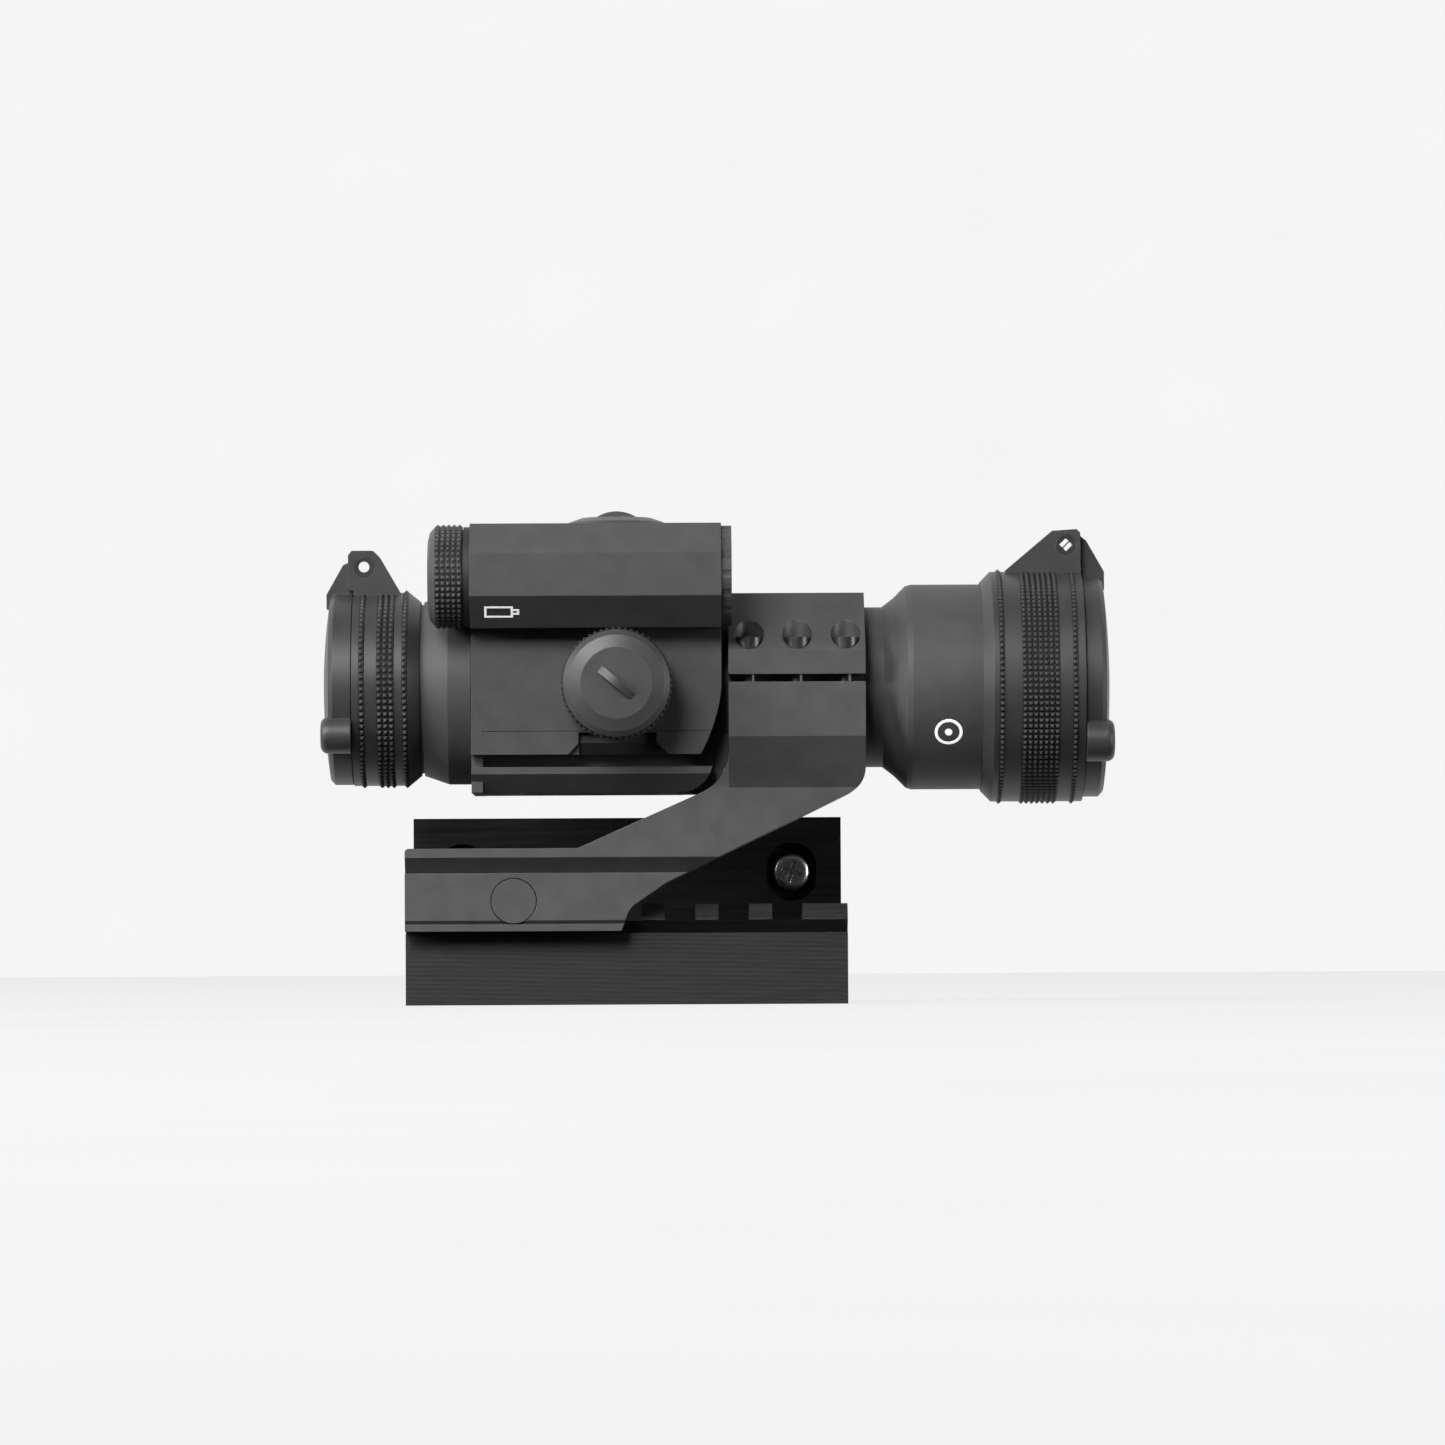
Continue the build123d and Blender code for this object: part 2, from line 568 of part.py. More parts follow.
def clamp_grooves():
    """Level grooves along the near side of the clamp: sloped tops, flat bottoms."""
    wide, narrow = (-31.8, -34.7), (-43.5, -44.2)
    cuts = []
    for top, bottom in (wide, narrow):
        section = [(-ARM_HALF - 1, top + 1), (-ARM_HALF + top - bottom, bottom), (-ARM_HALF - 1, bottom)]
        cuts.append(along_x(section, CLAMP_X0 - 1, RING_X0))
    return cuts[0] + cuts[1]


def mount_base():
    """Lower half of the ring, the arm and the fixed jaw in one piece."""
    half = [(MOUNT_HALF, SPLIT_Z0), (MOUNT_HALF, -9.6), (ARM_HALF, -19.0), (ARM_HALF, -22.0)]
    base = along_x([(-y, z) for y, z in half] + half[::-1], RING_X0, RING_X1)
    base &= along_y(arm_profile(), -MOUNT_HALF, MOUNT_HALF)
    base += along_y(arm_profile(), -ARM_HALF, ARM_HALF)
    base -= rod_x(RING_X0 - 1, RING_X1 + 1, TUBE_R)
    base -= along_x(rail_section(), CLAMP_X0 - 1, 60)
    base -= block(CLAMP_X0 - 1, 60, JAW_Y, 60, -60, RAIL_TOP + 6.0)
    base -= block(CLAMP_X0 - 1, 60, -8.2, 60, -60, RAIL_TOP)
    base -= clamp_grooves()
    base -= rod((BOLT_X, -20, BOLT_Z), (BOLT_X, 20, BOLT_Z), BOLT_R)
    base -= rod((BOLT_X, -20, BOLT_Z), (BOLT_X, BOLT_SEAT_Y, BOLT_Z), BOLT_HEAD_R + GAP)
    for x in RING_SCREW_X:
        for y in (-RING_SCREW_Y, RING_SCREW_Y):
            base -= rod((x, y, -8.4), (x, y, 2), 1.25)
    return base


def clamp_jaw():
    """Moving jaw on the far side of the rail, cut to the same end slope as the fixed one."""
    ceiling = RAIL_TOP + 6.0 - GAP
    near = JAW_Y + GAP
    jaw = along_y([(CLAMP_X0, ceiling), (-1.2, ceiling), (-4.0, -41.3), (CLAMP_X1, CLAMP_LIP),
                   (CLAMP_X0, CLAMP_LIP)], 8.2, ARM_HALF)
    jaw -= along_x(rail_section(GAP), CLAMP_X0 - 1, 0)
    jaw -= block(CLAMP_X0 - 1, 0, 0, near, RAIL_TOP - 1.0, ceiling + 1)
    return jaw - rod((BOLT_X, 0, BOLT_Z), (BOLT_X, 20, BOLT_Z), BOLT_R + RUN)


def cross_bolt():
    """Clamp bolt that lies in a slot of the rail, its round head flush with the fixed jaw."""
    bolt = rod((BOLT_X, -ARM_HALF, BOLT_Z), (BOLT_X, BOLT_SEAT_Y, BOLT_Z), BOLT_HEAD_R)
    bolt += rod((BOLT_X, BOLT_SEAT_Y, BOLT_Z), (BOLT_X, 27.5, BOLT_Z), BOLT_R)
    return chamfer(bolt.edges().sort_by(Axis.Y)[-1], 0.5)


def clamp_nut():
    """Thumb nut with eight finger notches and a coin slot across its end."""
    y0, y1 = ARM_HALF + GAP, 24.0
    nut = rod((BOLT_X, y0, BOLT_Z), (BOLT_X, y1, BOLT_Z), 7.8)
    nut = chamfer(nut.edges().sort_by(Axis.Y)[-1], 0.6)
    for k in range(8):
        angle = pi * k / 4
        x, z = BOLT_X + 9.2 * cos(angle), BOLT_Z + 9.2 * sin(angle)
        nut -= rod((x, y0 + 2.2, z), (x, y1 + 1, z), 2.3)
    return nut - rod((BOLT_X, 0, BOLT_Z), (BOLT_X, 30, BOLT_Z), BOLT_R + RUN)


# ---- rail bracket ----

def wall_screw_places():
    """X positions of the two wall screws."""
    return [WALL_SCREW_MID + side * WALL_SCREW_SPACING / 2 for side in (-1, 1)]


def rail_bracket():
    """Printed rail on a shelf that stands out from a flat back plate."""
    head = along_x(rail_section(), RAIL_X0, RAIL_X1)
    body = block(RAIL_X0, RAIL_X1, -RAIL_HALF, RAIL_HALF, BLOCK_BOTTOM, -45.9)
    shelf = block(RAIL_X0, RAIL_X1, RAIL_HALF - 1, PLATE_Y1, BLOCK_BOTTOM, SHELF_TOP)
    plate = block(RAIL_X0, RAIL_X1, PLATE_Y0, PLATE_Y1, BLOCK_BOTTOM, PLATE_TOP)
    bracket = head + body + shelf + plate
    first = SLOT_MID - RAIL_PITCH * (SLOT_COUNT - 1) / 2
    for k in range(SLOT_COUNT):
        x = first + k * RAIL_PITCH
        bracket -= block(x - SLOT_W / 2, x + SLOT_W / 2, -20, 20, RAIL_TOP - SLOT_DEPTH, RAIL_TOP + 1)
    for x in wall_screw_places():
        bracket -= rod((x, PLATE_Y0 - 1, WALL_SCREW_Z), (x, PLATE_Y1 + 1, WALL_SCREW_Z), WALL_SCREW_NECK)
        seat = block(x - 4.75, x + 4.75, PLATE_Y0 - 1, PLATE_Y0 + 2.6, WALL_SCREW_Z - 5.6, WALL_SCREW_Z + 5.6)
        bracket -= fillet(seat.edges().filter_by(Axis.Y), 4.5)
    return bracket


def wall_screws():
    """Pan head cross-recess screws with pointed ends."""
    screws = []
    for x in wall_screw_places():
        seat_y = PLATE_Y0 + 2.6
        shank = rod((x, seat_y, WALL_SCREW_Z), (x, PLATE_Y1 + 12, WALL_SCREW_Z), WALL_SCREW_R)
        shank = chamfer(shank.edges().sort_by(Axis.Y)[-1], length=3.0, length2=1.5)
        shank += rod((x, seat_y, WALL_SCREW_Z), (x, PLATE_Y1, WALL_SCREW_Z), WALL_SCREW_NECK)
        head = rod((x, seat_y - 2.3, WALL_SCREW_Z), (x, seat_y, WALL_SCREW_Z), 3.65)
        head = fillet(head.edges().sort_by(Axis.Y)[0], 1.3)
        cross = Box(4.0, 2.4, 0.8) + Box(0.8, 2.4, 4.0)
        head -= Pos(x, seat_y - 2.3, WALL_SCREW_Z) * Rot(0, 20, 0) * cross
        screws.append(shank + head)
    return Compound(children=screws)


# ---- all nodes ----

def all_nodes():
    nodes = {build.__name__: build() for build in (
        main_body, base_plate, base_screws, eyepiece_ring, objective_lens, objective_seal,
        objective_retainer, ocular_lens, ocular_seal, ocular_retainer, optic_cell, cell_spring,
        emitter_block, emitter_diode, circuit_board, keypad_bezel, battery, battery_front_plug,
        battery_front_contact, battery_spring, battery_cap, battery_cap_seal, rear_cap_body, rear_lid,
        objective_cap_body, objective_lid, ring_cap, ring_screws, mount_base, clamp_jaw, cross_bolt,
        clamp_nut, rail_bracket, wall_screws)}
    for name, x in BUTTON_X.items():
        nodes[name] = button(x)
    for side, out, bar_angle in (("windage", WINDAGE, -40), ("elevation", ELEVATION, 0)):
        nodes[side + "_cap"] = turret(turret_cap(bar_angle), out)
        nodes[side + "_dial"] = turret(turret_dial(), out)
        nodes[side + "_screw"] = turret(turret_screw(), out)
        nodes[side + "_seal"] = turret(turret_seal(), out)
    hinges = (("rear", REAR_PIN, ((0.5, -2.2), (2.8, -3.6))),
              ("objective", FRONT_PIN, ((-1.0, -2.0), (-3.2, -3.2))))
    for end, pin, leg in hinges:
        nodes[end + "_hinge_pin"] = hinge_pin(pin, end == "objective")
        nodes[end + "_hinge_spring"] = hinge_spring(pin, leg)
    return nodes


def export_all():
    """Writes each node as a STEP file about the centre of the wall screws."""
    os.makedirs("parts", exist_ok=True)
    to_origin = Location((-WALL_SCREW_MID, -PLATE_Y1, -WALL_SCREW_Z))
    for name, solid in all_nodes().items():
        export_step(solid.moved(to_origin), f"parts/{name}.step")


export_all()
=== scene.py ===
"""Looks of the tube sight with flip caps, on its ring mount and printed rail bracket."""

import json
from math import cos, pi, radians, sin

import bmesh
import bpy
from mathutils import Matrix, Vector


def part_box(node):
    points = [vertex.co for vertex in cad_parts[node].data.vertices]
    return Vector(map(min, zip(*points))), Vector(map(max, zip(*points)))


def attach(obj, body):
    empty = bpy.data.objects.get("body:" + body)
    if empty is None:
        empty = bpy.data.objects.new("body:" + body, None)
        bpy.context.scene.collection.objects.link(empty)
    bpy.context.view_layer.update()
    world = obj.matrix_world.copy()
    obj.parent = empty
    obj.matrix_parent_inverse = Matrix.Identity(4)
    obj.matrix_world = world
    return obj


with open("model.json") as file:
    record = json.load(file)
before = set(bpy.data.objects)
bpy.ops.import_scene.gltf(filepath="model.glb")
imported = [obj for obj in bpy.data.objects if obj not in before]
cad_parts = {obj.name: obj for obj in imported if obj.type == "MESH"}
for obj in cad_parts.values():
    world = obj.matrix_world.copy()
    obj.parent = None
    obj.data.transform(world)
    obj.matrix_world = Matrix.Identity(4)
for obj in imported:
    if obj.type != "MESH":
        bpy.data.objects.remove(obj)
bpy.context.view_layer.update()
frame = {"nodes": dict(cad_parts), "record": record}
NODES = frame["nodes"]
MM = 0.001

# ---- places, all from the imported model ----

lens_low, lens_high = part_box("objective_lens")
BELL_RIM = 74.0     # the bell's front rim is this far ahead of the sight's own origin
bell_rim_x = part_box("main_body")[1].x
lens_centre = (lens_low + lens_high) / 2
ORIGIN = Vector((bell_rim_x - BELL_RIM * MM, lens_centre.y, lens_centre.z))


def at(x, y, z):
    """Row-frame point, in metres, of a point in millimetres about the optical axis."""
    return ORIGIN + Vector((x, y, z)) * MM


def middle(node):
    """Centre of a CAD node, in millimetres about the optical axis."""
    low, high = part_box(node)
    return ((low + high) / 2 - ORIGIN) / MM


def low_mm(node):
    """Lowest corner of a CAD node, in millimetres about the optical axis."""
    return (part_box(node)[0] - ORIGIN) / MM


def high_mm(node):
    """Highest corner of a CAD node, in millimetres about the optical axis."""
    return (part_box(node)[1] - ORIGIN) / MM


# ---- materials ----

BEVEL_SAMPLES = 4
SUM_OF_NOISES = (0.6, 1.4)      # the range that two noises added together mostly stay in
ONE_NOISE = (0.3, 0.7)          # the same of one noise
# Colour of the painted shade at the floor of knurling and ribs, where shade falls between the points.
VALLEY_PAINTED_SHADE = (0.004, 0.004, 0.004, 1.0)


class Nodes:
    """Short names for building one material's node tree."""

    def __init__(self, name):
        self.material = bpy.data.materials.new(name)
        self.material.use_nodes = True
        self.tree = self.material.node_tree
        self.shader = self.tree.nodes["Principled BSDF"]
        self.place = self.add("ShaderNodeTexCoord").outputs["Object"]

    def add(self, kind, **settings):
        node = self.tree.nodes.new(kind)
        for key, value in settings.items():
            setattr(node, key, value)
        return node

    def link(self, source, target):
        self.tree.links.new(source, target)

    def math(self, operation, first, second=None):
        node = self.add("ShaderNodeMath", operation=operation)
        for socket, value in zip(node.inputs, (first, second)):
            if value is None:
                continue
            if isinstance(value, (int, float)):
                socket.default_value = value
            else:
                self.link(value, socket)
        return node.outputs[0]

    def noise(self, size_mm, detail=3.0, stretch=(1, 1, 1)):
        """Noise whose features are about size_mm across."""
        mapping = self.add("ShaderNodeMapping")
        mapping.inputs["Scale"].default_value = [1 / (size_mm * MM) / s for s in stretch]
        self.link(self.place, mapping.inputs["Vector"])
        node = self.add("ShaderNodeTexNoise")
        node.inputs["Scale"].default_value = 1.0
        node.inputs["Detail"].default_value = detail
        self.link(mapping.outputs[0], node.inputs["Vector"])
        return node.outputs["Fac"]

    def ramp(self, source, low, high, start=0.0, end=1.0):
        """Linear remap of a value from (start, end) to (low, high)."""
        node = self.add("ShaderNodeMapRange")
        node.inputs["From Min"].default_value = start
        node.inputs["From Max"].default_value = end
        node.inputs["To Min"].default_value = low
        node.inputs["To Max"].default_value = high
        self.link(source, node.inputs["Value"])
        return node.outputs[0]

    def blend(self, factor, first, second):
        """Colour between first and second by factor."""
        node = self.add("ShaderNodeMix", data_type="RGBA")
        self.link(factor, node.inputs["Factor"])
        for name, value in (("A", first), ("B", second)):
            socket = [s for s in node.inputs if s.name == name and s.type == "RGBA"][0]
            if isinstance(value, (tuple, list)):
                socket.default_value = value
            else:
                self.link(value, socket)
        return [s for s in node.outputs if s.type == "RGBA"][0]

    def edges(self, radius_mm, sharpness):
        """Mask of the convex and concave edges within radius_mm."""
        bevel = self.add("ShaderNodeBevel", samples=BEVEL_SAMPLES)
        bevel.inputs["Radius"].default_value = radius_mm * MM
        dot = self.add("ShaderNodeVectorMath", operation="DOT_PRODUCT")
        self.link(bevel.outputs[0], dot.inputs[0])
        self.link(self.add("ShaderNodeNewGeometry").outputs["Normal"], dot.inputs[1])
        return self.ramp(dot.outputs["Value"], 1.0, 0.0, 1.0 - sharpness, 1.0)

    def radius_about(self, centre_mm, plane):
        """Distance, in the plane of two axes, from a point given about the optical axis."""
        split = self.add("ShaderNodeSeparateXYZ")
        self.link(self.place, split.inputs[0])
        centre = at(*centre_mm)
        squares = []
        for axis in plane:
            away = self.math("SUBTRACT", split.outputs[axis], getattr(centre, axis.lower()))
            squares.append(self.math("MULTIPLY", away, away))
        return self.math("SQRT", self.math("ADD", *squares))

    def bump(self, height, distance_mm, strength, normal=None):
        node = self.add("ShaderNodeBump")
        node.inputs["Strength"].default_value = strength
        node.inputs["Distance"].default_value = distance_mm * MM
        self.link(height, node.inputs["Height"])
        if normal is not None:
            self.link(normal, node.inputs["Normal"])
        return node.outputs[0]


def grey(value):
    """Opaque colour of an even grey."""
    return (value, value, value, 1.0)


def finish_of(name, colour, wear_and_highlight_colour, grain_mm, grain_depth, rough, wear_and_highlight_share=0.5, mottle=0.18,
              metallic=0.0, specular=0.5, glow=0.0, painted_valley_shade=None):
    """Moulded or coated surface: grain, blotches, uneven gloss and lighter edges, partly wear and partly a
    painted edge highlight.

    A painted valley shade is (centre_mm, plane, floor_mm, crest_mm): shade painted into the colour, dark at
    the floor's radius about the centre and full colour at the crest's, with the reflection damped the same
    way. A glow is the share of the colour that the surface gives off itself, as painted light.
    """
    edge_mm, edge_sharpness, gloss_spread = 0.18, 0.35, 0.07
    n = Nodes(name)
    fine = n.noise(grain_mm, 2.0)
    blotch = n.noise(grain_mm * 40, 4.0)
    uneven = n.math("ADD", fine, blotch)
    dark = [c * (1 - mottle) for c in colour[:3]] + [1.0]
    light = [c * (1 + mottle) for c in colour[:3]] + [1.0]
    base = n.blend(n.ramp(uneven, 0.0, 1.0, *SUM_OF_NOISES), dark, light)
    # Lighter edges in patches: real wear, and partly a painted highlight along the edges.
    patches = n.ramp(n.noise(1.2, 5.0), 0.0, wear_and_highlight_share, 0.35, 0.7)
    wear_and_highlight_mask = n.math("MULTIPLY", n.edges(edge_mm, edge_sharpness), patches)
    top = n.blend(wear_and_highlight_mask, base, wear_and_highlight_colour)
    # Painted shade: the colour darkens and the reflection dims towards the floor of the knurling or ribs.
    if painted_valley_shade is not None:
        centre, plane, floor_mm, crest_mm = painted_valley_shade
        lit = n.ramp(n.radius_about(centre, plane), 0.0, 1.0, floor_mm * MM, crest_mm * MM)
        top = n.blend(lit, VALLEY_PAINTED_SHADE, top)
        n.link(n.math("MULTIPLY", lit, specular), n.shader.inputs["Specular IOR Level"])
    n.link(top, n.shader.inputs["Base Color"])
    gloss = n.ramp(uneven, rough - gloss_spread, rough + gloss_spread, *SUM_OF_NOISES)
    n.link(gloss, n.shader.inputs["Roughness"])
    bevel = n.add("ShaderNodeBevel", samples=BEVEL_SAMPLES)
    bevel.inputs["Radius"].default_value = edge_mm * MM
    n.link(n.bump(fine, grain_depth, 0.6, bevel.outputs[0]), n.shader.inputs["Normal"])
    n.shader.inputs["Metallic"].default_value = metallic
    n.shader.inputs["Specular IOR Level"].default_value = specular
    # Painted glow: the surface gives off part of its colour as light, though it is no lamp.
    if glow:
        n.link(base, n.shader.inputs["Emission Color"])
        n.shader.inputs["Emission Strength"].default_value = glow
    return n.material


def printed_plastic(name):
    """Layer-printed plastic: level ridges a layer apart, with small unevenness."""
    layer_mm, ridge_mm = 0.24, 0.05
    n = Nodes(name)
    split = n.add("ShaderNodeSeparateXYZ")
    n.link(n.place, split.inputs[0])
    wander = n.math("MULTIPLY", n.noise(9.0, 2.0), 0.5)
    phase = n.math("ADD", n.math("MULTIPLY", split.outputs["Z"], 1 / (layer_mm * MM)), wander)
    ridge = n.math("SINE", n.math("MULTIPLY", phase, 2 * pi))
    fine = n.noise(0.15, 2.0)
    streak = n.noise(0.5, 3.0, (30, 30, 1))
    base = n.blend(n.ramp(streak, 0.0, 1.0, *ONE_NOISE), grey(0.012), grey(0.021))
    # Lighter edges in patches: real wear, and partly a painted highlight along the edges.
    wear_and_highlight_mask = n.math("MULTIPLY", n.edges(0.22, 0.35), n.ramp(fine, 0.1, 0.5, *ONE_NOISE))
    n.link(n.blend(wear_and_highlight_mask, base, grey(0.09)), n.shader.inputs["Base Color"])
    n.link(n.ramp(streak, 0.40, 0.56, *ONE_NOISE), n.shader.inputs["Roughness"])
    n.shader.inputs["Specular IOR Level"].default_value = 0.28
    height = n.math("ADD", n.math("MULTIPLY", ridge, 0.5), n.math("MULTIPLY", fine, 0.4))
    n.link(n.bump(height, ridge_mm, 0.7), n.shader.inputs["Normal"])
    return n.material


def coated_glass(name, tint):
    """Optical glass with a coloured reflective coating."""
    n = Nodes(name)
    n.shader.inputs["Transmission Weight"].default_value = 1.0
    n.shader.inputs["IOR"].default_value = 1.52
    film = n.add("ShaderNodeLayerWeight")
    film.inputs["Blend"].default_value = 0.35
    n.link(n.blend(film.outputs["Facing"], tint, grey(0.9)), n.shader.inputs["Base Color"])
    n.link(n.ramp(n.noise(0.8, 3.0), 0.0, 0.03, *ONE_NOISE), n.shader.inputs["Roughness"])
    n.shader.inputs["Coat Weight"].default_value = 0.6
    n.shader.inputs["Coat Roughness"].default_value = 0.02
    return n.material


# ---- mesh building ----

SINK = 0.02         # how far a piece's foot goes into the surface that it stands on
COLLAR = 0.4        # how thick the hidden collar under a row of points or ribs is
FILM = 0.05         # thickness of a painted mark

def piece(name, points, faces, material, body, smooth=30):
    """New object from points in metres in the row frame, riding on a body, sharp past smooth degrees."""
    mesh = bpy.data.meshes.new(name)
    mesh.from_pydata([tuple(p) for p in points], [], faces)
    mesh.validate()
    work = bmesh.new()
    work.from_mesh(mesh)
    bmesh.ops.recalc_face_normals(work, faces=work.faces)
    work.to_mesh(mesh)
    work.free()
    mesh.polygons.foreach_set("use_smooth", [True] * len(mesh.polygons))
    mesh.set_sharp_from_angle(angle=radians(smooth))
    mesh.materials.append(material)
    made = bpy.data.objects.new(name, mesh)
    bpy.context.scene.collection.objects.link(made)
    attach(made, body)
    return made


def along(axis, centre):
    """Function that places (axial, a, b) in millimetres about a line through centre."""
    frames = {"x": lambda u, a, b: (u, a + centre[1], b + centre[2]),
              "-y": lambda u, a, b: (a + centre[0], -u, b + centre[2]),
              "z": lambda u, a, b: (a + centre[0], b + centre[1], u)}
    return lambda u, a, b: at(*frames[axis](u, a, b))


def band(name, put, rings, segments, wave, material, body, smooth=30):
    """Closed ring-shaped solid from (axial, radius, relief) rings.

    Relief times wave(j) adds to the radius, and quads are split so that their points stay points.
    """
    points = []
    for u, radius, relief in rings:
        for j in range(segments):
            angle = 2 * pi * j / segments
            r = radius + relief * wave(j)
            points.append(put(u, r * cos(angle), r * sin(angle)))
    faces = []
    count = len(rings)
    for i in range(count):
        k = (i + 1) % count
        for j in range(segments):
            m = (j + 1) % segments
            a, b, c, d = (i * segments + j, k * segments + j, k * segments + m, i * segments + m)
            relief_here, relief_next = rings[i][2], rings[k][2]
            peak_on_ac = (relief_here > 0 and wave(j) > 0) or (relief_next > 0 and wave(m) > 0)
            if relief_here == 0 and relief_next == 0:
                faces.append((a, b, c, d))
            elif peak_on_ac:
                faces += [(a, b, c), (a, c, d)]
            else:
                faces += [(a, b, d), (b, c, d)]
    return piece(name, points, faces, material, body, smooth)


def pyramid_rows(name, put, starts, pitch, teeth, radius, height, material, body):
    """Rows of square pyramids round a cylinder, each row starting at one of starts."""
    same_place = 1e-6
    rings = [(starts[0], radius - COLLAR, 0), (starts[0], radius, 0)]
    for u in starts:
        if rings[-1][0] < u - same_place:
            rings.append((u, radius, 0))
        rings += [(u + pitch / 2, radius, height), (u + pitch, radius, 0)]
    rings.append((starts[-1] + pitch, radius - COLLAR, 0))
    return band(name, put, rings, 2 * teeth, lambda j: j % 2, material, body, smooth=12)


def flutes(name, put, u0, u1, count, radius, height, material, body):
    """Straight rounded ribs round a turret cap's rim."""
    samples, ease, groove_share, fullness = 8, 0.45, 0.02, 0.8
    rings = [(u0, radius - COLLAR, 0), (u0, radius, 0),
             (u0 + ease, radius, height), (u1 - ease, radius, height),
             (u1, radius, 0), (u1, radius - COLLAR, 0)]

    def rib(j):
        return groove_share + abs(sin(pi * j / samples)) ** fullness
    return band(name, put, rings, samples * count, rib, material, body, smooth=50)


def plate_along(name, outline_mm, put, thickness, material, body):
    """Thin prism of a closed outline; put(a, b, c) places a point c above the surface."""
    count = len(outline_mm)
    points = [put(a, b, 0) for a, b in outline_mm] + [put(a, b, thickness) for a, b in outline_mm]
    faces = [tuple(range(count))[::-1], tuple(range(count, 2 * count))]
    faces += [(k, (k + 1) % count, count + (k + 1) % count, count + k) for k in range(count)]
    return piece(name, points, faces, material, body)


def box_outline(x0, y0, x1, y1):
    """Corners of a rectangle from two opposite ones."""
    return [(x0, y0), (x1, y0), (x1, y1), (x0, y1)]


def circle(radius, steps):
    """Evenly spaced points of a circle."""
    return [(radius * cos(2 * pi * k / steps), radius * sin(2 * pi * k / steps)) for k in range(steps)]


def joined(name, parts):
    """One object from several made with the same body and slot."""
    bpy.ops.object.select_all(action="DESELECT")
    for part in parts:
        part.select_set(True)
    bpy.context.view_layer.objects.active = parts[0]
    bpy.ops.object.join()
    parts[0].name = name
    return parts[0]


# ---- materials of the object ----

# Colour of the lighter edges: worn metal, and partly a painted edge highlight.
WEAR_AND_HIGHLIGHT_METAL = grey(0.13)
BODY = finish_of("body_anodised", grey(0.060), WEAR_AND_HIGHLIGHT_METAL, 0.10, 0.012, 0.54, specular=0.30)
CAPS = finish_of("turned_anodised", grey(0.050), WEAR_AND_HIGHLIGHT_METAL, 0.14, 0.010, 0.44)
ARM = finish_of("arm_anodised", grey(0.064), WEAR_AND_HIGHLIGHT_METAL, 0.10, 0.014, 0.48)
MOULDED = finish_of("cap_moulding", grey(0.034), grey(0.075), 0.16, 0.012, 0.46, wear_and_highlight_share=0.35)
KEYPAD = finish_of("keypad_moulding", grey(0.020), grey(0.06), 0.12, 0.015, 0.55)
RUBBER = finish_of("seal_rubber_black", grey(0.016), grey(0.05), 0.2, 0.012, 0.62, wear_and_highlight_share=0.3)
BLACK_STEEL = finish_of("black_oxide_steel", grey(0.060), grey(0.22), 0.08, 0.006, 0.34, metallic=0.6)
BRIGHT = finish_of("zinc_plate", grey(0.72), grey(0.85), 0.10, 0.004, 0.30, metallic=1.0, mottle=0.08)
BRASS = finish_of("turned_brass", (0.60, 0.43, 0.18, 1), (0.80, 0.62, 0.32, 1), 0.10, 0.004, 0.28,
                  metallic=1.0, mottle=0.10)
BOARD = finish_of("board_mask", (0.010, 0.085, 0.035, 1), (0.03, 0.16, 0.08, 1), 0.15, 0.006, 0.30)
SLEEVE = finish_of("cell_sleeve", (0.36, 0.37, 0.40, 1), (0.5, 0.5, 0.52, 1), 0.25, 0.003, 0.25,
                   mottle=0.06)
# The white mark paint has a painted glow of its own, though it is no lamp.
PAINT = finish_of("mark_paint", grey(0.82), grey(0.90), 0.12, 0.004, 0.45, mottle=0.04, glow=0.55)
PRINTED = printed_plastic("printed_black_plastic")
GLASS = coated_glass("coated_glass_red", (0.75, 0.16, 0.12, 1))
EYE_GLASS = coated_glass("coated_glass_green", (0.45, 0.62, 0.50, 1))

LOOKS = {"anodised_body": BODY, "anodised_cap": CAPS, "cap_plastic": MOULDED, "printed_plastic": PRINTED,
         "glass": GLASS, "black_steel": BLACK_STEEL, "bright_steel": BRIGHT, "brass": BRASS,
         "seal_rubber": RUBBER, "keypad_plastic": KEYPAD, "board": BOARD, "cell_wrap": SLEEVE}
ODD_ONES = {"mount_base": ARM, "ring_cap": ARM, "clamp_jaw": ARM, "cross_bolt": ARM,
            "ocular_lens": EYE_GLASS}
SLOTS = {entry["node"]: entry["material_slot"] for entry in frame["record"]["subparts"]}


def turned(name, painted_valley_shade):
    """Turned and anodised surface with painted shade darkening the knurling between the points."""
    return finish_of(name, grey(0.050), WEAR_AND_HIGHLIGHT_METAL, 0.14, 0.010, 0.44, painted_valley_shade=painted_valley_shade)


def dress_nodes():
    """Gives every CAD node the look of its material slot."""
    for name, slot in SLOTS.items():
        mesh = NODES[name].data
        mesh.materials.clear()
        mesh.materials.append(ODD_ONES.get(name, LOOKS[slot]))


# ---- pieces made here ----

CAP_POINT = 0.48        # height of the knurling's points on the flip caps


def knurled_plastic(name, radius):
    """Flip cap moulding about the optical axis, with painted shade darkening the knurling between the
    points.
    """
    return finish_of(name, grey(0.037), grey(0.085), 0.16, 0.012, 0.46, wear_and_highlight_share=0.35,
                     painted_valley_shade=((0, 0, 0), "YZ", radius - SINK, radius + 0.6 * CAP_POINT))


def flip_cap_knurls(rows, pitch, teeth, radius, look, body):
    """Named sets of rows round a flip cap, about the optical axis."""
    put = along("x", (0, 0, 0))
    for name, starts in rows.items():
        pyramid_rows(name, put, starts, pitch, teeth, radius - SINK, CAP_POINT, look, body)


